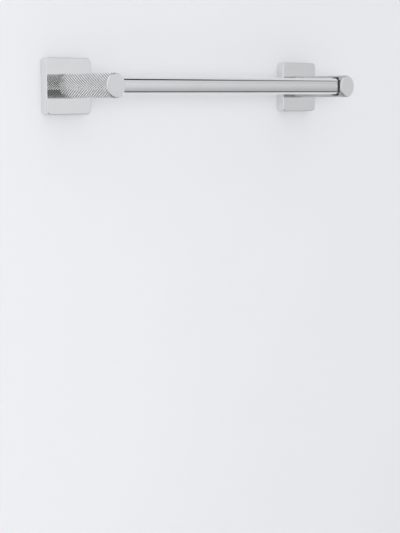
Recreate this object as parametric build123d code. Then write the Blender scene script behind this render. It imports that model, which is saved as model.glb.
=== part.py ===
from build123d import *
import math
import os

# A wall-mounted towel bar, in millimetres. The wall is the plane y = 0, the room lies on
# its -Y side and +Z is up. The origin is on the wall, midway between the posts, at the
# height of the bar. Everything beside the bar is built once, for the left end, and
# mirrored for the right end.

# Driving sizes
post_pitch = 305.0  # from post axis to post axis
projection = 74.0  # from the wall to the posts' end faces
bar_setback = 10.4  # from the posts' end faces back to the bar's axis
bar_diameter = 16.0
post_side_wall = 3.0  # of the post, above and below the bar that is let into it
rose_size = 50.0  # the rose plate is square
rose_depth = 8.5

# Rose plate, a shallow cup with its mouth on the wall
rose_corner_radius = 4.0
rose_edge_radius = 0.8
rose_rim = 3.5
rose_front_wall = 3.0
rose_pocket_radius = 2.5

# Wall bracket, which the rose plate hangs on by its upper rim
bracket_top_play = 0.1
bracket_side_gap = 1.5  # room to slide the rose plate on
bracket_bottom_gap = 3.0  # bridged by the grub screw
bracket_thickness = 4.5
bracket_corner_radius = 3.0
bracket_bevel = 3.5
bracket_centre_hole = 15.0
wall_hole_diameter = 4.5
wall_hole_sink = 8.4  # widest diameter of the countersink

# Post and its knurl
end_chamfer = 1.1
knurl_groove_count = 33  # of each hand
knurl_angle = 30.0  # degrees between a groove and the post's axis
knurl_depth = 0.7

# Bar, its seat in the posts and the plugs in its ends
bar_wall = 1.2
bar_overreach = 4.0  # the tube's end past the post's axis
bar_play = 0.2  # all round the bar in its socket
socket_floor_gap = 0.4
plug_length = 14.0
plug_play = 0.05
plug_flange_thickness = 0.8
plug_flange_inset = 0.3  # the flange's edge inside the tube's outer surface

# Screw that pulls the post onto the rose plate, with its spring washer
post_screw_diameter = 6.0
post_screw_length = 14.0
post_screw_head_diameter = 10.5
post_screw_head_height = 3.3
post_screw_key = 4.0  # across the flats of the hexagon socket
post_screw_key_depth = 2.0
post_hole_depth = 12.0
clearance_hole_play = 0.2
washer_diameter = 11.0
washer_thickness = 1.5
washer_split = 0.8

# Grub screws: one under each rose plate, one under each post
grub_diameter = 4.0
grub_key = 2.0
grub_key_depth = 1.5
rose_grub_recess = 0.5
bar_grub_recess = 0.1  # under the bottoms of the knurl
bar_grub_point = 0.5  # chamfer round the flat point
thread_play = 0.05  # all round a screw in its tapped hole
seat_play = 0.05  # between a screw's point and what it bears on

cut_overrun = 1.0  # how far a cut runs past the surface that it opens

# Places that follow from the sizes
post_x = -post_pitch / 2
bar_y = bar_setback - projection
bar_radius = bar_diameter / 2
post_radius = bar_radius + post_side_wall  # over the points of the knurl
pocket_size = rose_size - 2 * rose_rim
pocket_depth = rose_depth - rose_front_wall
bracket_width = pocket_size - 2 * bracket_side_gap
bracket_top = pocket_size / 2 - bracket_top_play
bracket_bottom = -pocket_size / 2 + bracket_bottom_gap
bracket_height = bracket_top - bracket_bottom
wall_hole_z = (bracket_centre_hole / 2 - bracket_bottom) / 2  # mid-web, above and below
rose_grub_y = -pocket_depth / 2
bar_end_x = -bar_overreach
socket_floor_x = bar_end_x - plug_flange_thickness - socket_floor_gap


def rod(radius, start, end):
    """Cylinder from one point to another."""
    axis = Vector(end) - Vector(start)
    base = Plane(origin=start, z_dir=axis)
    return base * Cylinder(radius, axis.length, align=(Align.CENTER, Align.CENTER, Align.MIN))


def cone(start_radius, end_radius, start, end):
    """Cone, or part of one, from one point to another."""
    axis = Vector(end) - Vector(start)
    base = Plane(origin=start, z_dir=axis)
    upright = (Align.CENTER, Align.CENTER, Align.MIN)
    return base * Cone(start_radius, end_radius, axis.length, align=upright)


def hexagon_socket(across_flats, start, end):
    """Hexagonal prism from one point to another, to be cut out of a screw."""
    axis = Vector(end) - Vector(start)
    base = Plane(origin=start, z_dir=axis)
    outline = RegularPolygon(across_flats / 2, 6, major_radius=False)
    return extrude(base * outline, axis.length)


def slab(width, height, corner_radius, back_y, front_y):
    """Upright plate with rounded corners, between two distances from the wall."""
    outline = Pos(0, back_y, 0) * Plane.XZ * RectangleRounded(width, height, corner_radius)
    return extrude(outline, back_y - front_y)


# Rose plate
def rose_plate():
    cup = slab(rose_size, rose_size, rose_corner_radius, 0, -rose_depth)
    front = cup.faces().sort_by(Axis.Y)[0]
    cup = fillet(front.edges(), rose_edge_radius)
    cup -= slab(pocket_size, pocket_size, rose_pocket_radius, cut_overrun, -pocket_depth)
    screw_hole = post_screw_diameter / 2 + clearance_hole_play
    cup -= rod(screw_hole, (0, -pocket_depth + cut_overrun, 0), (0, -rose_depth - cut_overrun, 0))
    outside = (0, rose_grub_y, -rose_size / 2 - cut_overrun)
    inside = (0, rose_grub_y, -pocket_size / 2 + cut_overrun)
    return cup - rod(grub_diameter / 2 + thread_play, outside, inside)


# Wall bracket
def wall_bracket():
    middle = Pos(0, 0, (bracket_top + bracket_bottom) / 2)
    plate = middle * slab(bracket_width, bracket_height, bracket_corner_radius, 0, -bracket_thickness)
    plate -= bottom_bevel()
    behind = cut_overrun
    beyond = -bracket_thickness - cut_overrun
    plate -= rod(bracket_centre_hole / 2, (0, behind, 0), (0, beyond, 0))
    sink_depth = (wall_hole_sink - wall_hole_diameter) / 2
    for z in (-wall_hole_z, wall_hole_z):
        plate -= rod(wall_hole_diameter / 2, (0, behind, z), (0, beyond, z))
        rim = (0, -bracket_thickness, z)
        floor = (0, -bracket_thickness + sink_depth, z)
        plate -= cone(wall_hole_sink / 2, wall_hole_diameter / 2, rim, floor)
    return plate


def bottom_bevel():
    """Wedge under the bracket's wall side, which leaves the slope for the grub screw."""
    wedge = Polyline(
        (0, bracket_bottom),
        (0, bracket_bottom + bracket_bevel),
        (-bracket_bevel, bracket_bottom),
        close=True,
    )
    section = Plane.YZ * make_face(wedge)
    return extrude(section, bracket_width / 2, both=True)


# Knurled post
def knurl_row_count(length):
    """Rows of knurl points that fit in a length, half a diamond apart."""
    pitch_round = 2 * math.pi * post_radius / knurl_groove_count
    pitch_along = pitch_round / math.tan(math.radians(knurl_angle))
    return round(2 * length / pitch_along)


def ring_of_points(y, radii):
    """Points round the post's axis, whose distances from it take turns."""
    columns = 2 * knurl_groove_count
    points = []
    for column in range(columns):
        turn = 2 * math.pi * column / columns
        radius = radii[column % 2]
        points.append(Vector(radius * math.cos(turn), y, radius * math.sin(turn)))
    return points


def band_of_facets(ring, next_ring, crests_even):
    """Two triangles for each cell between two rings, folded along the groove."""
    facets = []
    for column in range(len(ring)):
        beside = (column + 1) % len(ring)
        a, b = ring[column], ring[beside]
        d, c = next_ring[column], next_ring[beside]
        if (column % 2 == 0) == crests_even:
            corners = ((a, b, d), (b, c, d))
        else:
            corners = ((a, b, c), (a, c, d))
        facets += [Face(Wire.make_polygon(points)) for points in corners]
    return facets


def knurled_stock():
    """Round stock with a diamond knurl: points and groove crossings lie like a chessboard."""
    start_y = -rose_depth
    knurl_end_y = -projection + end_chamfer
    rows = knurl_row_count(start_y - knurl_end_y)
    step = (start_y - knurl_end_y) / rows
    crest = post_radius
    root = post_radius - knurl_depth
    rings = []
    for row in range(rows + 1):
        radii = (crest, root) if row % 2 == 0 else (root, crest)
        rings.append(ring_of_points(start_y - row * step, radii))
    end_radius = post_radius - end_chamfer
    rings.append(ring_of_points(-projection, (end_radius, end_radius)))
    facets = [Face(Wire.make_polygon(rings[0])), Face(Wire.make_polygon(rings[-1]))]
    for row in range(rows + 1):
        facets += band_of_facets(rings[row], rings[row + 1], row % 2 == 0)
    return Solid(Shell(facets))


def post():
    body = knurled_stock()
    inner_side = (post_radius + cut_overrun, bar_y, 0)
    body -= rod(bar_radius + bar_play, (socket_floor_x, bar_y, 0), inner_side)
    tapped_end = (0, -rose_depth - post_hole_depth, 0)
    tapped_mouth = (0, -rose_depth + cut_overrun, 0)
    body -= rod(post_screw_diameter / 2 + thread_play, tapped_end, tapped_mouth)
    below = (0, bar_y, -post_radius - cut_overrun)
    return body - rod(grub_diameter / 2 + thread_play, (0, bar_y, 0), below)


# Bar and end plugs
def bar_tube():
    reach = post_pitch / 2 + bar_overreach
    left, right = (-reach, bar_y, 0), (reach, bar_y, 0)
    return rod(bar_radius, left, right) - rod(bar_radius - bar_wall, left, right)


def bar_end_plug():
    mouth = (bar_end_x, bar_y, 0)
    plug = rod(bar_radius - bar_wall - plug_play, mouth, (bar_end_x + plug_length, bar_y, 0))
    outer = (bar_end_x - plug_flange_thickness, bar_y, 0)
    return plug + rod(bar_radius - plug_flange_inset, outer, mouth)


# Screws and washer
def spring_washer():
    back = (0, -pocket_depth + washer_thickness, 0)
    front = (0, -pocket_depth, 0)
    bore_radius = post_screw_diameter / 2 + clearance_hole_play
    ring = rod(washer_diameter / 2, back, front) - rod(bore_radius, back, front)
    middle_y = -pocket_depth + washer_thickness / 2
    split = Pos(washer_diameter / 2, middle_y, 0) * Box(washer_diameter, washer_thickness, washer_split)
    return ring - split


def post_screw():
    seat_y = -pocket_depth + washer_thickness
    head_y = seat_y + post_screw_head_height
    screw = rod(post_screw_head_diameter / 2, (0, seat_y, 0), (0, head_y, 0))
    screw += rod(post_screw_diameter / 2, (0, seat_y, 0), (0, seat_y - post_screw_length, 0))
    socket_floor = (0, head_y - post_screw_key_depth, 0)
    return screw - hexagon_socket(post_screw_key, socket_floor, (0, head_y, 0))


def rose_grub_screw():
    """Its cone point slides up the bracket's bevel and draws the rose plate to the wall."""
    tip_z = bracket_bottom + bracket_bevel + rose_grub_y - seat_play
    cone_z = tip_z - grub_diameter / 2
    outer_z = -rose_size / 2 + rose_grub_recess
    outer, shoulder, tip = [(0, rose_grub_y, z) for z in (outer_z, cone_z, tip_z)]
    screw = rod(grub_diameter / 2, outer, shoulder) + cone(grub_diameter / 2, 0, shoulder, tip)
    key_floor = (0, rose_grub_y, outer_z + grub_key_depth)
    return screw - hexagon_socket(grub_key, outer, key_floor)


def bar_set_screw():
    tip_z = -bar_radius - seat_play
    outer_z = -post_radius + knurl_depth + bar_grub_recess
    outer, tip = (0, bar_y, outer_z), (0, bar_y, tip_z)
    screw = rod(grub_diameter / 2, outer, tip)
    point = screw.faces().sort_by(Axis.Z)[-1]
    screw = chamfer(point.edges(), bar_grub_point)
    key_floor = (0, bar_y, outer_z + grub_key_depth)
    return screw - hexagon_socket(grub_key, outer, key_floor)


os.makedirs("parts", exist_ok=True)

end_pieces = {
    "rose_plate": rose_plate(),
    "wall_bracket": wall_bracket(),
    "post": post(),
    "bar_end_plug": bar_end_plug(),
    "post_screw": post_screw(),
    "spring_washer": spring_washer(),
    "rose_grub_screw": rose_grub_screw(),
    "bar_set_screw": bar_set_screw(),
}
for name, piece in end_pieces.items():
    left_piece = Pos(post_x, 0, 0) * piece
    export_step(left_piece, f"parts/left_{name}.step")
    export_step(mirror(left_piece, Plane.YZ), f"parts/right_{name}.step")
export_step(bar_tube(), "parts/bar_tube.step")
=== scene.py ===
import bmesh
import bpy
import math
from mathutils import Matrix, Vector


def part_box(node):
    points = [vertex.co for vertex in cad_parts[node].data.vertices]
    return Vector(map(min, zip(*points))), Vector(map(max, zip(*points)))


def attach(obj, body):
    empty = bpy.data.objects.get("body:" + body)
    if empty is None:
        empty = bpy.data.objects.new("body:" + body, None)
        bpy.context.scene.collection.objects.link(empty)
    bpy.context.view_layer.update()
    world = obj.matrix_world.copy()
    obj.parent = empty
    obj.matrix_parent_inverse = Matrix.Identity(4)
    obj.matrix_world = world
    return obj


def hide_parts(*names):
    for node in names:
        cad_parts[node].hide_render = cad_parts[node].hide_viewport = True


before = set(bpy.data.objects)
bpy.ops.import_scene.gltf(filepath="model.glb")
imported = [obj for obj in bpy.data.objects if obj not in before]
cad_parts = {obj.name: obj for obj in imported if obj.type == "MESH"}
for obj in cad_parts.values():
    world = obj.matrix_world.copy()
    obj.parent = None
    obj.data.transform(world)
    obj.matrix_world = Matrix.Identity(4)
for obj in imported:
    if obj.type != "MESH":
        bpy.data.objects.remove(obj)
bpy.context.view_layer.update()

# A wall-mounted towel bar in polished chrome: two square rose plates, two diamond-knurled
# posts and a smooth round bar let into them. The wall is the plane y = 0, the room lies on
# its -Y side and +Z is up.


def mm(length):
    return length / 1000


# Sizes that the model gives
bar_low, bar_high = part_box("bar_tube")
bar_radius = (bar_high.z - bar_low.z) / 2
bar_y = (bar_high.y + bar_low.y) / 2
bar_reach = bar_high.x
post_low, post_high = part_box("left_post")
post_x = (post_low.x + post_high.x) / 2
post_radius = (post_high.z - post_low.z) / 2
post_seat_y = post_high.y
post_end_y = post_low.y
rose_low, rose_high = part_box("left_rose_plate")
rose_size = rose_high.z - rose_low.z
rose_depth = rose_high.y - rose_low.y

# Sizes of the rose plate
rose_corner_radius = mm(4.0)
rose_edge_radius = mm(0.8)
rose_rim = mm(3.5)
rose_front_wall = mm(3.0)
rose_pocket_radius = mm(2.5)
rose_screw_hole_radius = mm(3.2)
rose_grub_hole_radius = mm(2.05)
rose_fillet_steps = 8
rose_corner_steps = 14
rose_half = rose_size / 2
rose_pocket_half = rose_half - rose_rim
rose_pocket_y = -(rose_depth - rose_front_wall)
smooth_border = mm(0.06)  # narrow strip that keeps a flat face flat beside a rounding

# Sizes of the post
end_chamfer = mm(1.1)
knurl_groove_count = 33  # of each hand
knurl_angle = math.radians(30)  # between a groove and the post's axis
knurl_depth = mm(0.7)
knurl_shoulder_share = 0.25  # of the stud's width, where its flank turns over
knurl_land_share = 0.12  # of the stud's width, flat on top
knurl_shoulder_height_share = 0.85  # of the knurl's depth
bar_play = mm(0.2)  # all round the bar in its socket
bar_overreach = mm(4.0)  # the bar's end past the post's axis
plug_flange = mm(0.8)
socket_floor_gap = mm(0.4)
post_thread_radius = mm(3.05)
post_thread_depth = mm(12.0)
grub_hole_radius = mm(2.05)
end_segments = 132  # round the post's end face
socket_segments = 128
hole_segments = 48
drill_overrun = mm(3)
weld_distance = mm(0.002)
knurl_sharp_angle = 28  # degrees over which an edge of the knurl is left sharp

# Sizes of the bar
bar_wall = mm(1.2)
bar_end_edge = mm(0.15)
bar_segments = 160

sharp_angle = 30  # degrees over which any other edge is left sharp
bevel_angle = 50  # degrees over which a fixing's edge is rounded

# Camera, which sees the part from the photograph's angle
camera_place = (-0.8831, -0.9450, -0.0110)
camera_lens = 88.79
camera_yaw = 0.7601  # to the right of straight at the wall, in radians
camera_pitch = 0.1275  # downward
camera_roll = 0.0049

# Light
light_colour = (0.99, 1.0, 1.04)  # daylight through white blinds, a little cool
room_gain = 1.02  # of the whole room, but for its far right
far_right_loss = 0.28  # how much darker the far right of the room is
window_gain = 0.25  # how much brighter the left side of the room is
skylight_gain = 0.5  # how much brighter the ceiling is, except at the right
key_lamp_place = (-2.3, -3.2, 0.05)
key_lamp_size = 1.6
key_lamp_power = 65

# Stage
floor_z = -1.2
wall_gap = mm(0.2)  # between the wall's paint and the plane that the roses stand on
wall_opening_rim = mm(1.6)  # of a rose plate's edge that the wall reaches behind
card_distance = 0.9  # of the cards over and under the bar, from its axis


def photo_camera():
    data = bpy.data.cameras.new("photo_view")
    data.sensor_width = 36
    data.lens = camera_lens
    data.clip_start = 0.01
    data.clip_end = 50
    camera = bpy.data.objects.new("photo_view", data)
    turn = Matrix.Rotation(-camera_yaw, 4, "Z")
    turn = turn @ Matrix.Rotation(math.pi / 2 - camera_pitch, 4, "X")
    turn = turn @ Matrix.Rotation(-camera_roll, 4, "Z")
    camera.matrix_world = Matrix.Translation(camera_place) @ turn
    bpy.context.scene.collection.objects.link(camera)
    bpy.context.scene.camera = camera


# Helpers for node trees
def put(tree, kind, values=None, **settings):
    """Adds a node. A value that is a socket is linked, any other is set on the input."""
    node = tree.nodes.new(kind)
    for name, value in settings.items():
        setattr(node, name, value)
    for key, value in (values or {}).items():
        if isinstance(value, bpy.types.NodeSocket):
            tree.links.new(value, node.inputs[key])
        else:
            node.inputs[key].default_value = value
    return node


def calc(tree, operation, *numbers):
    """Output of a Math node."""
    values = dict(enumerate(numbers))
    return put(tree, "ShaderNodeMath", values, operation=operation).outputs[0]


def rise(tree, number, start, end):
    """Goes smoothly from 0 to 1 while the number goes from start to end."""
    values = {"Value": number, "From Min": start, "From Max": end}
    node = put(tree, "ShaderNodeMapRange", values, interpolation_type="SMOOTHSTEP")
    return node.outputs["Result"]


def blend_colour(tree, share, first, second):
    """The first colour at share 0, the second at 1."""
    node = put(tree, "ShaderNodeMix", data_type="RGBA")
    for key, value in (("Factor_Float", share), ("A_Color", first), ("B_Color", second)):
        socket = next(s for s in node.inputs if s.identifier == key)
        if isinstance(value, bpy.types.NodeSocket):
            tree.links.new(value, socket)
        else:
            socket.default_value = value
    return next(s for s in node.outputs if s.identifier == "Result_Color")


def ramp(tree, number, stops):
    """Colour ramp over 0 to 1, from pairs of place and grey value."""
    node = put(tree, "ShaderNodeValToRGB", {"Fac": number})
    elements = node.color_ramp.elements
    while len(elements) < len(stops):
        elements.new(0.5)
    for element, (place, grey) in zip(elements, stops):
        element.position = place
        element.color = (grey, grey, grey, 1)
    return node.outputs["Color"]


# Studio: world, key lamp, dark cards, wall and floor
def studio_world():
    """Soft pale light from all round, weaker from below and from the far right, and
    stronger from the window at the left and from the ceiling."""
    world = bpy.data.worlds.new("pale_studio")
    world.use_nodes = True
    tree = world.node_tree
    tree.nodes.clear()
    direction = put(tree, "ShaderNodeTexCoord").outputs["Generated"]
    x, y, z = put(tree, "ShaderNodeSeparateXYZ", {0: direction}).outputs
    height = calc(tree, "MULTIPLY_ADD", z, 0.5, 0.5)
    # Pairs of height, from 0 straight down to 1 straight up, and brightness.
    from_floor_to_ceiling = (
        (0.12, 0.47),
        (0.17, 0.56),
        (0.23, 0.62),
        (0.30, 0.69),
        (0.375, 0.74),
        (0.50, 0.80),
        (0.63, 0.84),
        (0.70, 0.79),
        (0.85, 0.77),
    )
    brightness = ramp(tree, height, from_floor_to_ceiling)
    far_right = rise(tree, x, 0.56, 0.86)
    weaker = calc(tree, "MULTIPLY_ADD", far_right, -far_right_loss, room_gain)
    window = calc(tree, "MULTIPLY", rise(tree, x, -0.42, -0.58), rise(tree, y, 0.0, -0.3))
    stronger = calc(tree, "MULTIPLY_ADD", window, window_gain, 1.0)
    overhead = calc(tree, "MULTIPLY", rise(tree, z, 0.55, 0.8), rise(tree, x, 0.5, 0.2))
    skylight = calc(tree, "MULTIPLY_ADD", overhead, skylight_gain, 1.0)
    for gain in (weaker, stronger, skylight):
        brightness = calc(tree, "MULTIPLY", brightness, gain)
    tinted = {0: brightness, 1: light_colour}
    colour = put(tree, "ShaderNodeVectorMath", tinted, operation="MULTIPLY").outputs[0]
    background = put(tree, "ShaderNodeBackground", {"Color": colour, "Strength": 1.0})
    put(tree, "ShaderNodeOutputWorld", {"Surface": background.outputs[0]})
    bpy.context.scene.world = world


def key_lamp():
    """Soft round lamp far out at the left, about as high as the bar. The chrome doesn't
    mirror it."""
    data = bpy.data.lights.new("key_lamp", "AREA")
    data.shape = "DISK"
    data.size = key_lamp_size
    data.energy = key_lamp_power
    data.color = light_colour
    lamp = bpy.data.objects.new("key_lamp", data)
    place = Vector(key_lamp_place)
    aim = (Vector((0, 0, 0)) - place).to_track_quat("-Z", "Y")
    lamp.matrix_world = Matrix.Translation(place) @ aim.to_matrix().to_4x4()
    lamp.visible_glossy = False
    lamp.visible_camera = False
    bpy.context.scene.collection.objects.link(lamp)


def stage_plane(name, columns, rows, point, skip, material):
    """Flat mesh over a grid of places, without the cells to skip."""
    shape = bmesh.new()
    grid = [[shape.verts.new(point(column, row)) for column in columns] for row in rows]
    for i in range(len(rows) - 1):
        for j in range(len(columns) - 1):
            if (j, i) not in skip:
                corners = (grid[i][j], grid[i][j + 1], grid[i + 1][j + 1], grid[i + 1][j])
                shape.faces.new(corners)
    mesh = bpy.data.meshes.new(name)
    shape.to_mesh(mesh)
    shape.free()
    mesh.materials.append(material)
    plane = bpy.data.objects.new(name, mesh)
    bpy.context.scene.collection.objects.link(plane)
    return plane


def dark_card_material(name, axis, fade_start, fade_end):
    """Black cloth that thins out along the X, Y or Z axis."""
    material = bpy.data.materials.new(name)
    material.use_nodes = True
    tree = material.node_tree
    tree.nodes.clear()
    place = put(tree, "ShaderNodeTexCoord").outputs["Object"]
    along = put(tree, "ShaderNodeSeparateXYZ", {0: place}).outputs[axis]
    thin = rise(tree, along, fade_start, fade_end)
    cloth = put(tree, "ShaderNodeBsdfDiffuse", {"Color": (0.03, 0.03, 0.03, 1)})
    clear = put(tree, "ShaderNodeBsdfTransparent")
    mix = put(tree, "ShaderNodeMixShader", {0: thin, 1: cloth.outputs[0], 2: clear.outputs[0]})
    put(tree, "ShaderNodeOutputMaterial", {"Surface": mix.outputs[0]})
    return material


def dark_cards():
    """Cards that only the chrome sees, which give its reflections their dark lines."""
    over = stage_plane(
        "card_over_bar",
        (-0.6, 1.6),
        (-0.356, 0.0),
        lambda x, y: (x, y, card_distance),
        (),
        dark_card_material("cloth_over_bar", "X", 0.55, 1.6),
    )
    under = stage_plane(
        "card_under_bar",
        (-0.6, 1.6),
        (-0.25, 0.0),
        lambda x, y: (x, y, -card_distance),
        (),
        dark_card_material("cloth_under_bar", "X", 1.5, 1.6),
    )
    below = stage_plane(
        "card_below",
        (-0.9, -0.2, 0.7),
        (-1.6, -0.62, -0.16),
        lambda x, y: (x, y, floor_z + 0.01),
        ((0, 0),),
        dark_card_material("cloth_below", "X", 0.6, 0.7),
    )
    left = stage_plane(
        "card_at_left",
        (-0.9, -0.1),
        (floor_z + 0.01, 0.45),
        lambda y, z: (-2.0, y, z),
        (),
        dark_card_material("cloth_at_left", "Z", -0.75, 0.6),
    )
    for card in (over, under, below, left):
        card.visible_camera = False
        card.visible_diffuse = False
        card.visible_shadow = False


def paint_material(name, colour, hidden_from_behind):
    """Matt paint with faint clouds and a fine grain."""
    material = bpy.data.materials.new(name)
    material.use_nodes = True
    tree = material.node_tree
    tree.nodes.clear()
    place = put(tree, "ShaderNodeTexCoord").outputs["Object"]
    clouds = put(tree, "ShaderNodeTexNoise", {"Vector": place, "Scale": 2.5, "Detail": 3.0})
    grain = put(tree, "ShaderNodeTexNoise", {"Vector": place, "Scale": 900.0, "Detail": 2.0})
    darker = tuple(0.985 * part for part in colour)
    shade = rise(tree, clouds.outputs["Fac"], 0.35, 0.65)
    tint = blend_colour(tree, shade, (*darker, 1), (*colour, 1))
    height = grain.outputs["Fac"]
    bump = put(tree, "ShaderNodeBump", {"Height": height, "Strength": 0.15, "Distance": mm(0.2)})
    paint = put(
        tree,
        "ShaderNodeBsdfPrincipled",
        {"Base Color": tint, "Roughness": 0.9, "Normal": bump.outputs[0]},
    )
    paint.inputs["Specular IOR Level"].default_value = 0.1
    surface = paint.outputs[0]
    if hidden_from_behind:
        behind = put(tree, "ShaderNodeNewGeometry").outputs["Backfacing"]
        clear = put(tree, "ShaderNodeBsdfTransparent")
        mix = put(tree, "ShaderNodeMixShader", {0: behind, 1: surface, 2: clear.outputs[0]})
        surface = mix.outputs[0]
    put(tree, "ShaderNodeOutputMaterial", {"Surface": surface})
    return material


def wall_and_floor():
    wall_paint = paint_material("wall_paint", (0.70, 0.70, 0.70), True)
    floor_paint = paint_material("floor_paint", (0.78, 0.78, 0.78), False)
    # The wall stays open behind the roses, so that light reaches their backs.
    opening = rose_half - wall_opening_rim
    inner, outer = -post_x - opening, -post_x + opening
    stage_plane(
        "wall",
        (-4, -outer, -inner, inner, outer, 4),
        (floor_z, -opening, opening, 2.5),
        lambda x, z: (x, wall_gap, z),
        ((1, 1), (3, 1)),
        wall_paint,
    )
    floor = stage_plane(
        "floor",
        (-9, 9),
        (-9, 4),
        lambda x, y: (x, y, floor_z),
        (),
        floor_paint,
    )
    floor.visible_glossy = False


# Finishes
# Painted shade: near-black at the bottom of the knurl's grooves and in a toothed line round the
# bar where it enters a post.
groove_shade_colour = (0.03, 0.03, 0.03)
groove_shade_start = 0.75  # of the knurl's depth
groove_roughening = 0.03
joint_reach = mm(0.5)  # of the painted shadow line round the bar where it enters a post
joint_tooth_height = mm(1.75)
joint_tooth_slope = 0.9
joint_filling = 0.75  # of the knurl's depth
# Painted shade: colour of the knurl's flanks that face the wall, standing in for their shade.
flank_shade_colour = (0.15, 0.15, 0.15)
flank_facing = 0.15  # least part of a shaded flank's normal that points at the wall
flank_parting = -0.3  # height where the shaded flanks change hand, over the post's radius


def plating_marks_group():
    """Faint wipe marks, clouding and waviness that a plated or polished surface shows."""
    tree = bpy.data.node_groups.new("Plating marks", "ShaderNodeTree")
    for name in ("Wipe Scale", "Wave Scale"):
        tree.interface.new_socket(name, in_out="INPUT", socket_type="NodeSocketFloat")
    for name in ("Smudge", "Wipe", "Wave"):
        tree.interface.new_socket(name, in_out="OUTPUT", socket_type="NodeSocketFloat")
    sizes = put(tree, "NodeGroupInput").outputs
    place = put(tree, "ShaderNodeTexCoord").outputs["Object"]
    smudge = put(
        tree,
        "ShaderNodeTexNoise",
        {"Vector": place, "Scale": 45.0, "Detail": 4.0, "Roughness": 0.55},
    )
    stretched = put(tree, "ShaderNodeMapping", {"Vector": place, "Scale": (1.0, 1.0, 7.0)})
    wipe = put(
        tree,
        "ShaderNodeTexNoise",
        {"Vector": stretched.outputs[0], "Scale": sizes["Wipe Scale"], "Detail": 5.0},
    )
    wave = put(
        tree,
        "ShaderNodeTexNoise",
        {"Vector": place, "Scale": sizes["Wave Scale"], "Detail": 1.0},
    )
    outputs = {
        "Smudge": rise(tree, smudge.outputs["Fac"], 0.45, 0.75),
        "Wipe": rise(tree, wipe.outputs["Fac"], 0.52, 0.72),
        "Wave": wave.outputs["Fac"],
    }
    put(tree, "NodeGroupOutput", outputs)
    return tree


def metal_material(name, marks, tints, roughness, wave_height, scales, knurled=False):
    """Metal that goes from its first tint and roughness, where it is clean, to its second,
    where it is smudged. The scales are those of the wipe marks and of the waviness."""
    material = bpy.data.materials.new(name)
    material.use_nodes = True
    tree = material.node_tree
    tree.nodes.clear()
    group = put(tree, "ShaderNodeGroup", node_tree=marks)
    group.inputs["Wipe Scale"].default_value = scales[0]
    group.inputs["Wave Scale"].default_value = scales[1]
    smudge, wipe, wave = [group.outputs[n] for n in ("Smudge", "Wipe", "Wave")]
    soiled = calc(tree, "MULTIPLY_ADD", wipe, 0.5, smudge)
    soiled = calc(tree, "MINIMUM", soiled, 1.0)
    tint = blend_colour(tree, soiled, (*tints[0], 1), (*tints[1], 1))
    rough = calc(tree, "MULTIPLY_ADD", soiled, roughness[1] - roughness[0], roughness[0])
    if knurled:
        # Painted shade at the bottom of the grooves and round the bar's joint, which is also a
        # little rougher there.
        painted_shade = knurl_painted_shade(tree)
        # Painted shade on the knurl's flanks that face the wall.
        flank = put(tree, "ShaderNodeAttribute", attribute_name="shaded_flank").outputs["Fac"]
        tint = blend_colour(tree, flank, tint, (*flank_shade_colour, 1))
        tint = blend_colour(tree, painted_shade, tint, (*groove_shade_colour, 1))
        rough = calc(tree, "MULTIPLY_ADD", painted_shade, groove_roughening, rough)
    bump = put(tree, "ShaderNodeBump", {"Height": wave, "Strength": 0.6, "Distance": wave_height})
    metal = put(
        tree,
        "ShaderNodeBsdfPrincipled",
        {"Base Color": tint, "Metallic": 1.0, "Roughness": rough, "Normal": bump.outputs[0]},
    )
    put(tree, "ShaderNodeOutputMaterial", {"Surface": metal.outputs[0]})
    return material


def distance(tree, first, second):
    """Length of a line with these two parts at right angles."""
    squares = calc(tree, "MULTIPLY_ADD", first, first, calc(tree, "MULTIPLY", second, second))
    return calc(tree, "SQRT", squares)


def knurl_painted_shade(tree):
    """Painted shade: 1 at the bottom of the knurl's grooves and in a toothed shadow line round the
    bar, else 0.
    """
    place = put(tree, "ShaderNodeTexCoord").outputs["Object"]
    x, y, z = put(tree, "ShaderNodeSeparateXYZ", {0: place}).outputs
    # Goes through 0 at a post's axis, and is less than 0 on the side of the bar.
    outward = calc(tree, "ADD", calc(tree, "ABSOLUTE", x), post_x)
    inner_side = rise(tree, outward, mm(-2), mm(-4))
    from_bar = distance(tree, calc(tree, "SUBTRACT", y, bar_y), z)
    teeth = calc(tree, "PINGPONG", z, joint_tooth_height)
    toothed = calc(tree, "MULTIPLY_ADD", teeth, -joint_tooth_slope, from_bar)
    round_bar = rise(tree, toothed, bar_radius + joint_reach, bar_radius + joint_reach / 2)
    joint = calc(tree, "MULTIPLY", round_bar, inner_side)
    filling = calc(tree, "MULTIPLY", joint, joint_filling * knurl_depth)
    top = calc(tree, "ADD", filling, post_radius - groove_shade_start * knurl_depth)
    bottom = calc(tree, "ADD", filling, post_radius - knurl_depth)
    return rise(tree, distance(tree, outward, z), top, bottom)


def nylon_material():
    material = bpy.data.materials.new("plug_nylon")
    material.use_nodes = True
    tree = material.node_tree
    tree.nodes.clear()
    place = put(tree, "ShaderNodeTexCoord").outputs["Object"]
    noise = put(tree, "ShaderNodeTexNoise", {"Vector": place, "Scale": 350.0, "Detail": 3.0})
    mottle = noise.outputs["Fac"]
    tint = blend_colour(tree, mottle, (0.07, 0.07, 0.075, 1), (0.09, 0.09, 0.095, 1))
    rough = calc(tree, "MULTIPLY_ADD", mottle, 0.2, 0.4)
    bump = put(tree, "ShaderNodeBump", {"Height": mottle, "Strength": 0.3, "Distance": mm(0.1)})
    nylon = put(
        tree,
        "ShaderNodeBsdfPrincipled",
        {"Base Color": tint, "Roughness": rough, "Normal": bump.outputs[0]},
    )
    put(tree, "ShaderNodeOutputMaterial", {"Surface": nylon.outputs[0]})
    return material


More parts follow.
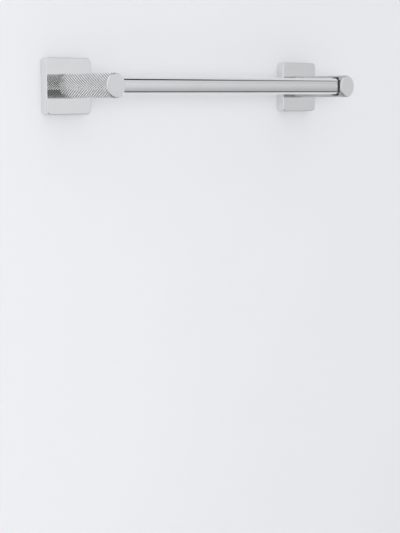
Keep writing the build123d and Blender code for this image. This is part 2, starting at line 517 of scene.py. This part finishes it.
marks = plating_marks_group()
polished_chrome = metal_material(
    "polished_chrome",
    marks,
    tints=((0.836, 0.834, 0.822), (0.820, 0.818, 0.806)),
    roughness=(0.03, 0.07),
    wave_height=mm(0.004),
    scales=(20.0, 60.0),
)
knurled_chrome = metal_material(
    "knurled_chrome",
    marks,
    tints=((0.940, 0.938, 0.926), (0.850, 0.848, 0.836)),
    roughness=(0.28, 0.30),
    wave_height=mm(0.004),
    scales=(20.0, 60.0),
    knurled=True,
)
turned_end_chrome = metal_material(
    "turned_end_chrome",
    marks,
    tints=((0.856, 0.854, 0.842), (0.840, 0.838, 0.826)),
    roughness=(0.34, 0.38),
    wave_height=mm(0.004),
    scales=(20.0, 60.0),
)
zinc_plate = metal_material(
    "zinc_plated_steel",
    marks,
    tints=((0.62, 0.63, 0.64), (0.50, 0.50, 0.49)),
    roughness=(0.32, 0.50),
    wave_height=mm(0.02),
    scales=(120.0, 300.0),
)
screw_steel = metal_material(
    "screw_steel",
    marks,
    tints=((0.60, 0.60, 0.60), (0.48, 0.47, 0.45)),
    roughness=(0.24, 0.42),
    wave_height=mm(0.01),
    scales=(400.0, 700.0),
)
nylon = nylon_material()


# Mesh helpers
def soften(mesh, angle):
    """Smooth shading, with the edges over an angle left sharp."""
    mesh.shade_smooth()
    mesh.set_sharp_from_angle(angle=math.radians(angle))


def finished_piece(name, mesh, material, node):
    """Object that stands for one CAD node."""
    if material.name not in mesh.materials:
        mesh.materials.clear()
        mesh.materials.append(material)
    piece = bpy.data.objects.new(name, mesh)
    bpy.context.scene.collection.objects.link(piece)
    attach(piece, "root")
    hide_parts(node)
    return piece


def strip_between(shape, ring, next_ring):
    """Four-sided faces between two rings with the same count of points."""
    for i in range(len(ring)):
        j = (i + 1) % len(ring)
        shape.faces.new((ring[i], ring[j], next_ring[j], next_ring[i]))


def closed_strip_mesh(name, loops):
    """Closed skin through rings of points, the last of which joins the first."""
    shape = bmesh.new()
    rings = [[shape.verts.new(point) for point in loop] for loop in loops]
    for ring, next_ring in zip(rings, rings[1:] + rings[:1]):
        strip_between(shape, ring, next_ring)
    bmesh.ops.recalc_face_normals(shape, faces=shape.faces)
    mesh = bpy.data.meshes.new(name)
    shape.to_mesh(mesh)
    shape.free()
    return mesh


def cylinder_cutter(radius, start, end, segments):
    """Cylinder from one point to another, to be cut away from a piece."""
    axis = Vector(end) - Vector(start)
    shape = bmesh.new()
    bmesh.ops.create_cone(
        shape,
        cap_ends=True,
        segments=segments,
        radius1=radius,
        radius2=radius,
        depth=axis.length,
    )
    turn = axis.to_track_quat("Z", "Y").to_matrix().to_4x4()
    middle = (Vector(start) + Vector(end)) / 2
    bmesh.ops.transform(shape, matrix=Matrix.Translation(middle) @ turn, verts=shape.verts)
    mesh = bpy.data.meshes.new("cutter")
    shape.to_mesh(mesh)
    shape.free()
    cutter = bpy.data.objects.new("cutter", mesh)
    bpy.context.scene.collection.objects.link(cutter)
    return cutter


def evaluated_mesh(thing, name):
    """Plain mesh of an object with its modifiers, which is then deleted."""
    graph = bpy.context.evaluated_depsgraph_get()
    mesh = bpy.data.meshes.new_from_object(thing.evaluated_get(graph), depsgraph=graph)
    mesh.name = name
    bpy.data.objects.remove(thing)
    return mesh


def drilled(name, mesh, cutter):
    """Mesh without what the cutter fills. The cutter is then deleted."""
    thing = bpy.data.objects.new(name, mesh)
    bpy.context.scene.collection.objects.link(thing)
    cut = thing.modifiers.new("drill", "BOOLEAN")
    cut.operation = "DIFFERENCE"
    cut.object = cutter
    result = evaluated_mesh(thing, name)
    bpy.data.objects.remove(cutter)
    return result


# Rose plates
def square_ring(half, radius, y):
    """Rounded square, once round by angle. It has the same count of points for every size."""
    points = []
    straight = half - radius
    stops = (-straight + smooth_border, -straight / 3, straight / 3, straight - smooth_border)
    for quarter in range(4):
        turn = Matrix.Rotation(quarter * math.pi / 2, 3, "Y")
        points += [turn @ Vector((half, y, z)) for z in stops]
        for step in range(rose_corner_steps + 1):
            angle = step / rose_corner_steps * math.pi / 2
            corner_x = straight + radius * math.cos(angle)
            corner_z = straight + radius * math.sin(angle)
            points.append(turn @ Vector((corner_x, y, corner_z)))
    return sorted(points, key=lambda point: math.atan2(point.z, point.x))


def circle_like(ring, radius, y):
    """Circle with one point for each point of a ring, in the same directions."""
    start = math.atan2(ring[0].z, ring[0].x)
    points = []
    for i in range(len(ring)):
        angle = start + 2 * math.pi * i / len(ring)
        points.append(Vector((radius * math.cos(angle), y, radius * math.sin(angle))))
    return points


def rose_profile():
    """Outside of the plate from the wall to its front: pairs of reach and Y."""
    profile = [(rose_half, 0.0), (rose_half, -rose_depth + rose_edge_radius + smooth_border)]
    for step in range(rose_fillet_steps + 1):
        angle = step / rose_fillet_steps * math.pi / 2
        inset = rose_edge_radius * (1 - math.cos(angle))
        y = -rose_depth + rose_edge_radius * (1 - math.sin(angle))
        profile.append((rose_half - inset, y))
    profile.append((rose_half - rose_edge_radius - smooth_border, -rose_depth))
    return profile


def rose_plate(side):
    pocket_floor = square_ring(rose_pocket_half, rose_pocket_radius, rose_pocket_y)
    pocket_mouth = square_ring(rose_pocket_half, rose_pocket_radius, 0.0)
    screw_hole = circle_like(pocket_floor, rose_screw_hole_radius, rose_pocket_y)
    loops = [screw_hole, pocket_floor, pocket_mouth]
    for reach, y in rose_profile():
        loops.append(square_ring(reach, rose_corner_radius - (rose_half - reach), y))
    loops.append(circle_like(loops[-1], rose_screw_hole_radius, -rose_depth))
    name = f"{side}_rose_plate_polished"
    mesh = closed_strip_mesh(name, loops)
    x = post_x if side == "left" else -post_x
    mesh.transform(Matrix.Translation((x, 0, 0)))
    low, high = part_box(f"{side}_rose_grub_screw")
    grub_y = (low.y + high.y) / 2
    overrun = mm(1)
    below = (x, grub_y, -rose_half - overrun)
    above = (x, grub_y, -rose_pocket_half + overrun)
    cutter = cylinder_cutter(rose_grub_hole_radius, below, above, hole_segments)
    mesh = drilled(name, mesh, cutter)
    soften(mesh, sharp_angle)
    return finished_piece(name, mesh, polished_chrome, f"{side}_rose_plate")


# Knurled posts, made by one node tree
def tree_with_inputs(name, sizes):
    tree = bpy.data.node_groups.new(name, "GeometryNodeTree")
    tree.interface.new_socket("Geometry", in_out="INPUT", socket_type="NodeSocketGeometry")
    for label, kind in sizes:
        tree.interface.new_socket(label, in_out="INPUT", socket_type=kind)
    tree.interface.new_socket("Geometry", in_out="OUTPUT", socket_type="NodeSocketGeometry")
    return tree


def set_inputs(modifier, values):
    for item in modifier.node_group.interface.items_tree:
        if item.item_type == "SOCKET" and item.in_out == "INPUT" and item.name in values:
            modifier[item.identifier] = values[item.name]


def vector(tree, x, y, z):
    return put(tree, "ShaderNodeCombineXYZ", {0: x, 1: y, 2: z}).outputs[0]


def components(tree, value):
    return put(tree, "ShaderNodeSeparateXYZ", {0: value}).outputs


def position(tree):
    return put(tree, "GeometryNodeInputPosition").outputs[0]


def moved(tree, geometry, place, selection=None):
    values = {"Geometry": geometry, "Position": place}
    if selection is not None:
        values["Selection"] = selection
    return put(tree, "GeometryNodeSetPosition", values).outputs[0]


def knurl_stud(tree, sizes, pitch_round):
    """Diamond-based stud of the knurl: flank, shoulder and flat land."""
    base = put(
        tree,
        "GeometryNodeMeshCircle",
        {"Vertices": 4, "Radius": 1.0},
        fill_type="NGON",
    ).outputs[0]
    half_round = calc(tree, "MULTIPLY", pitch_round, 0.5)
    base = put(
        tree,
        "GeometryNodeTransform",
        {"Geometry": base, "Scale": vector(tree, half_round, sizes["Row Spacing"], 1.0)},
    ).outputs[0]
    shoulder_height = calc(tree, "MULTIPLY", sizes["Knurl Depth"], sizes["Shoulder Height Share"])
    land_height = calc(tree, "SUBTRACT", sizes["Knurl Depth"], shoulder_height)
    land_scale = calc(tree, "DIVIDE", sizes["Land Share"], sizes["Shoulder Share"])
    steps = ((shoulder_height, sizes["Shoulder Share"]), (land_height, land_scale))
    stud, top = base, None
    for height, scale in steps:
        values = {"Mesh": stud, "Offset Scale": height}
        if top is not None:
            values["Selection"] = top
        extrusion = put(tree, "GeometryNodeExtrudeMesh", values, mode="FACES")
        top = extrusion.outputs["Top"]
        x, y, z = components(tree, position(tree))
        narrow_x = calc(tree, "MULTIPLY", x, scale)
        narrow_y = calc(tree, "MULTIPLY", y, scale)
        stud = moved(tree, extrusion.outputs["Mesh"], vector(tree, narrow_x, narrow_y, z), top)
    return stud


def knurled_skin(tree, sizes):
    """Studs on a staggered pattern, wrapped round the post and closed at both ends."""
    # Flat pattern: X runs round the post, Y along it and Z out of it. It starts two rows
    # before the seat and has five rows more than the post needs.
    rows_before, rows_more = 2.0, 5.0
    girth = calc(tree, "MULTIPLY", sizes["Post Radius"], 2 * math.pi)
    pitch_round = calc(tree, "DIVIDE", girth, sizes["Groove Count"])
    stud = knurl_stud(tree, sizes, pitch_round)
    index = put(tree, "GeometryNodeInputIndex").outputs[0]
    row = calc(tree, "FLOOR", calc(tree, "DIVIDE", index, sizes["Groove Count"]))
    column = calc(tree, "SUBTRACT", index, calc(tree, "MULTIPLY", row, sizes["Groove Count"]))
    stagger = calc(tree, "MULTIPLY", calc(tree, "FLOORED_MODULO", row, 2.0), -0.5)
    column = calc(tree, "ADD", column, stagger)
    round_place = calc(tree, "MULTIPLY", column, pitch_round)
    row_place = calc(tree, "SUBTRACT", row, rows_before)
    along_place = calc(tree, "MULTIPLY", row_place, sizes["Row Spacing"])
    row_total = calc(tree, "ADD", sizes["Row Count"], rows_more)
    count = calc(tree, "MULTIPLY", row_total, sizes["Groove Count"])
    points = put(
        tree,
        "GeometryNodePoints",
        {"Count": count, "Position": vector(tree, round_place, along_place, 0.0)},
    ).outputs[0]
    studs = put(tree, "GeometryNodeInstanceOnPoints", {"Points": points, "Instance": stud})
    flat = put(tree, "GeometryNodeRealizeInstances", {"Geometry": studs.outputs[0]}).outputs[0]

    # Wrapped round the post's axis, where the first and last columns meet and are welded.
    x, y, z = components(tree, position(tree))
    angle = calc(tree, "DIVIDE", x, sizes["Post Radius"])
    angle = calc(tree, "ADD", angle, sizes["Start Angle"])
    bottom = calc(tree, "SUBTRACT", sizes["Post Radius"], sizes["Knurl Depth"])
    radius = calc(tree, "ADD", bottom, z)
    across = calc(tree, "MULTIPLY", radius, calc(tree, "COSINE", angle))
    upward = calc(tree, "MULTIPLY", radius, calc(tree, "SINE", angle))
    along = calc(tree, "SUBTRACT", sizes["Seat Y"], y)
    across = calc(tree, "ADD", across, sizes["Post X"])
    skin = moved(tree, flat, vector(tree, across, along, upward))
    weld = {"Geometry": skin, "Distance": weld_distance}
    skin = put(tree, "GeometryNodeMergeByDistance", weld).outputs[0]

    # A plain sleeve runs from each open rim well past the post's end, with a lid on it.
    neighbours = put(tree, "GeometryNodeInputMeshEdgeNeighbors").outputs[0]
    rim = put(
        tree,
        "FunctionNodeCompare",
        {2: neighbours, 3: 1},
        data_type="INT",
        operation="EQUAL",
    ).outputs[0]
    sleeve = put(
        tree,
        "GeometryNodeExtrudeMesh",
        {"Mesh": skin, "Selection": rim, "Offset Scale": 0.0},
        mode="EDGES",
    )
    x, y, z = components(tree, position(tree))
    middle = calc(tree, "MULTIPLY", calc(tree, "ADD", sizes["Seat Y"], sizes["End Y"]), 0.5)
    beyond = calc(tree, "MULTIPLY", sizes["Row Spacing"], rows_more)
    at_wall = calc(tree, "GREATER_THAN", y, middle)
    wall_end = calc(tree, "ADD", sizes["Seat Y"], beyond)
    room_end = calc(tree, "SUBTRACT", sizes["End Y"], beyond)
    span = calc(tree, "SUBTRACT", wall_end, room_end)
    flat_end = calc(tree, "MULTIPLY_ADD", at_wall, span, room_end)
    skin = moved(tree, sleeve.outputs["Mesh"], vector(tree, x, flat_end, z), sleeve.outputs["Top"])
    lids = put(
        tree,
        "GeometryNodeExtrudeMesh",
        {"Mesh": skin, "Selection": sleeve.outputs["Top"], "Offset Scale": 0.0},
        mode="EDGES",
    )
    x, y, z = components(tree, position(tree))
    hub = vector(tree, sizes["Post X"], y, 0.0)
    stock = moved(tree, lids.outputs["Mesh"], hub, lids.outputs["Top"])
    weld = {"Geometry": stock, "Distance": weld_distance}
    return put(tree, "GeometryNodeMergeByDistance", weld).outputs[0]


def solid_cylinder(tree, radius, length, middle, turn, segments):
    blank = put(
        tree,
        "GeometryNodeMeshCylinder",
        {"Vertices": segments, "Radius": radius, "Depth": length},
        fill_type="NGON",
    ).outputs[0]
    values = {"Geometry": blank, "Translation": middle, "Rotation": turn}
    return put(tree, "GeometryNodeTransform", values).outputs[0]


def turned_and_drilled(tree, sizes, stock):
    """The stock faced and chamfered, then drilled for the bar and the screws."""
    # What lies inside a 45 degree cone stays: its small end makes the flat end face and
    # its flank the chamfer.
    length = calc(tree, "SUBTRACT", sizes["Seat Y"], sizes["End Y"])
    end_radius = calc(tree, "SUBTRACT", sizes["Post Radius"], sizes["End Chamfer"])
    envelope = put(
        tree,
        "GeometryNodeMeshCone",
        {
            "Vertices": end_segments,
            "Radius Top": end_radius,
            "Radius Bottom": calc(tree, "ADD", end_radius, length),
            "Depth": length,
        },
        fill_type="NGON",
    ).outputs[0]
    quarter = math.pi / 2
    envelope = put(
        tree,
        "GeometryNodeTransform",
        {
            "Geometry": envelope,
            "Translation": vector(tree, sizes["Post X"], sizes["Seat Y"], 0.0),
            "Rotation": (quarter, 0.0, 0.0),
        },
    ).outputs[0]
    turned = put(tree, "GeometryNodeMeshBoolean", operation="INTERSECT", solver="MANIFOLD")
    tree.links.new(stock, turned.inputs["Mesh 2"])
    tree.links.new(envelope, turned.inputs["Mesh 2"])

    socket_length = calc(tree, "ADD", sizes["Post Radius"], sizes["Socket Depth"])
    socket_length = calc(tree, "ADD", socket_length, drill_overrun)
    half_length = calc(tree, "MULTIPLY", socket_length, 0.5)
    socket_middle = calc(tree, "SUBTRACT", half_length, sizes["Socket Depth"])
    socket_x = calc(tree, "MULTIPLY_ADD", sizes["Side"], socket_middle, sizes["Post X"])
    socket = solid_cylinder(
        tree,
        sizes["Socket Radius"],
        socket_length,
        vector(tree, socket_x, sizes["Bar Y"], 0.0),
        (0.0, quarter, 0.0),
        socket_segments,
    )
    thread_length = calc(tree, "ADD", sizes["Thread Depth"], drill_overrun)
    thread_middle = calc(tree, "MULTIPLY", thread_length, -0.5)
    thread_y = calc(tree, "ADD", calc(tree, "ADD", sizes["Seat Y"], thread_middle), drill_overrun)
    thread = solid_cylinder(
        tree,
        sizes["Thread Radius"],
        thread_length,
        vector(tree, sizes["Post X"], thread_y, 0.0),
        (quarter, 0.0, 0.0),
        hole_segments,
    )
    grub_length = calc(tree, "ADD", sizes["Post Radius"], drill_overrun)
    grub_middle = calc(tree, "MULTIPLY", grub_length, -0.5)
    grub = solid_cylinder(
        tree,
        sizes["Grub Radius"],
        grub_length,
        vector(tree, sizes["Post X"], sizes["Bar Y"], grub_middle),
        (0.0, 0.0, 0.0),
        hole_segments,
    )
    post = put(
        tree,
        "GeometryNodeMeshBoolean",
        {"Mesh 1": turned.outputs[0]},
        operation="DIFFERENCE",
        solver="MANIFOLD",
    )
    for cutter in (socket, thread, grub):
        tree.links.new(cutter, post.inputs["Mesh 2"])
    return post.outputs[0]


def knurled_post_tree():
    sizes = [
        ("Post Radius", "NodeSocketFloat"),
        ("Knurl Depth", "NodeSocketFloat"),
        ("Groove Count", "NodeSocketInt"),
        ("Start Angle", "NodeSocketFloat"),
        ("Row Count", "NodeSocketInt"),
        ("Row Spacing", "NodeSocketFloat"),
        ("Shoulder Share", "NodeSocketFloat"),
        ("Shoulder Height Share", "NodeSocketFloat"),
        ("Land Share", "NodeSocketFloat"),
        ("Seat Y", "NodeSocketFloat"),
        ("End Y", "NodeSocketFloat"),
        ("End Chamfer", "NodeSocketFloat"),
        ("Post X", "NodeSocketFloat"),
        ("Side", "NodeSocketFloat"),
        ("Bar Y", "NodeSocketFloat"),
        ("Socket Radius", "NodeSocketFloat"),
        ("Socket Depth", "NodeSocketFloat"),
        ("Thread Radius", "NodeSocketFloat"),
        ("Thread Depth", "NodeSocketFloat"),
        ("Grub Radius", "NodeSocketFloat"),
        ("Finish", "NodeSocketMaterial"),
    ]
    tree = tree_with_inputs("Knurled post", sizes)
    values = put(tree, "NodeGroupInput").outputs
    stock = knurled_skin(tree, values)
    post = turned_and_drilled(tree, values, stock)
    post = put(tree, "GeometryNodeRealizeInstances", {"Geometry": post}).outputs[0]
    post = put(tree, "GeometryNodeSetMaterial", {"Geometry": post, "Material": values["Finish"]})
    put(tree, "NodeGroupOutput", {"Geometry": post.outputs[0]})
    return tree


def on_end(point):
    """True on the flat end of a post and on the chamfer round it."""
    past_end = point.y - post_end_y
    radius = math.hypot(abs(point.x) + post_x, point.z)
    chamfer_radius = post_radius - end_chamfer + past_end
    return past_end < mm(0.001) or abs(radius - chamfer_radius) < mm(0.02)


def is_shaded_flank(facet, axis_x):
    """True for a flank of the knurl that faces the wall and leans to the parting height.
    Shade is painted into the colour there, so that the knurl still reads as lines of both hands
    when its studs are smaller than a pixel."""
    outward = Vector((facet.center.x - axis_x, 0, facet.center.z)).normalized()
    lean = facet.normal.z - outward.z * facet.normal.dot(outward)
    return facet.normal.y > flank_facing and lean * (outward.z - flank_parting) < 0


def knurled_post(side, tree):
    name = f"{side}_post_knurled"
    is_left = side == "left"
    axis_x = post_x if is_left else -post_x
    blank = bpy.data.objects.new(name, bpy.data.meshes.new("blank"))
    bpy.context.scene.collection.objects.link(blank)
    length = post_seat_y - post_end_y - end_chamfer
    pitch_round = 2 * math.pi * post_radius / knurl_groove_count
    half_pitch_along = pitch_round / math.tan(knurl_angle) / 2
    rows = round(length / half_pitch_along)
    build = blank.modifiers.new("knurl", "NODES")
    build.node_group = tree
    set_inputs(
        build,
        {
            "Post Radius": post_radius,
            "Knurl Depth": knurl_depth,
            "Groove Count": knurl_groove_count,
            "Start Angle": 0.0 if is_left else math.pi / knurl_groove_count,
            "Row Count": rows,
            "Row Spacing": length / rows,
            "Shoulder Share": knurl_shoulder_share,
            "Shoulder Height Share": knurl_shoulder_height_share,
            "Land Share": knurl_land_share,
            "Seat Y": post_seat_y,
            "End Y": post_end_y,
            "End Chamfer": end_chamfer,
            "Post X": axis_x,
            "Side": 1.0 if is_left else -1.0,
            "Bar Y": bar_y,
            "Socket Radius": bar_radius + bar_play,
            "Socket Depth": bar_overreach + plug_flange + socket_floor_gap,
            "Thread Radius": post_thread_radius,
            "Thread Depth": post_thread_depth,
            "Grub Radius": grub_hole_radius,
            "Finish": knurled_chrome,
        },
    )
    mesh = evaluated_mesh(blank, name)
    mesh.materials.append(turned_end_chrome)
    end_slot = len(mesh.materials) - 1
    shaded_flank = mesh.attributes.new("shaded_flank", "FLOAT", "FACE")
    for facet in mesh.polygons:
        corners = [mesh.vertices[i].co for i in facet.vertices]
        if all(on_end(corner) for corner in corners):
            facet.material_index = end_slot
        # Flanks that face the wall are marked for painted shade.
        elif is_shaded_flank(facet, axis_x):
            shaded_flank.data[facet.index].value = 1.0
    soften(mesh, knurl_sharp_angle)
    return finished_piece(name, mesh, knurled_chrome, f"{side}_post")


# Bar
def bar_ring(x, radius):
    points = []
    for i in range(bar_segments):
        angle = 2 * math.pi * i / bar_segments
        points.append(Vector((x, bar_y + radius * math.cos(angle), radius * math.sin(angle))))
    return points


def bar():
    inside = bar_radius - bar_wall
    edge = bar_end_edge
    profile = [
        (-bar_reach, inside + edge),
        (-bar_reach, bar_radius - edge),
        (-bar_reach + edge, bar_radius),
        (bar_reach - edge, bar_radius),
        (bar_reach, bar_radius - edge),
        (bar_reach, inside + edge),
        (bar_reach - edge, inside),
        (-bar_reach + edge, inside),
    ]
    mesh = closed_strip_mesh("bar_polished", [bar_ring(x, radius) for x, radius in profile])
    soften(mesh, sharp_angle)
    return finished_piece("bar_polished", mesh, polished_chrome, "bar_tube")


# Fixings behind the roses and inside the posts
def smooth_fixing(node, material, edge):
    """Welded copy of a CAD node's mesh, with its edges rounded a little."""
    name = f"{node}_finished"
    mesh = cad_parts[node].data.copy()
    shape = bmesh.new()
    shape.from_mesh(mesh)
    bmesh.ops.remove_doubles(shape, verts=shape.verts, dist=mm(0.001))
    bmesh.ops.recalc_face_normals(shape, faces=shape.faces)
    bmesh.ops.dissolve_limit(
        shape, angle_limit=math.radians(1), verts=shape.verts, edges=shape.edges
    )
    shape.to_mesh(mesh)
    shape.free()
    # Normals stored for the old corners don't fit the welded mesh.
    for attribute in [a for a in mesh.attributes if a.name == "custom_normal"]:
        mesh.attributes.remove(attribute)
    thing = bpy.data.objects.new(name, mesh)
    bpy.context.scene.collection.objects.link(thing)
    bevel = thing.modifiers.new("edge", "BEVEL")
    bevel.width = edge
    bevel.segments = 2
    bevel.limit_method = "ANGLE"
    bevel.angle_limit = math.radians(bevel_angle)
    mesh = evaluated_mesh(thing, name)
    soften(mesh, sharp_angle)
    return finished_piece(name, mesh, material, node)


photo_camera()
studio_world()
key_lamp()
wall_and_floor()
dark_cards()
bar()
post_tree = knurled_post_tree()
for side in ("left", "right"):
    rose_plate(side)
    knurled_post(side, post_tree)
    smooth_fixing(f"{side}_wall_bracket", zinc_plate, mm(0.2))
    for fixing in ("post_screw", "spring_washer", "rose_grub_screw", "bar_set_screw"):
        smooth_fixing(f"{side}_{fixing}", screw_steel, mm(0.08))
    smooth_fixing(f"{side}_bar_end_plug", nylon, mm(0.1))

bpy.context.scene.view_settings.view_transform = "Standard"
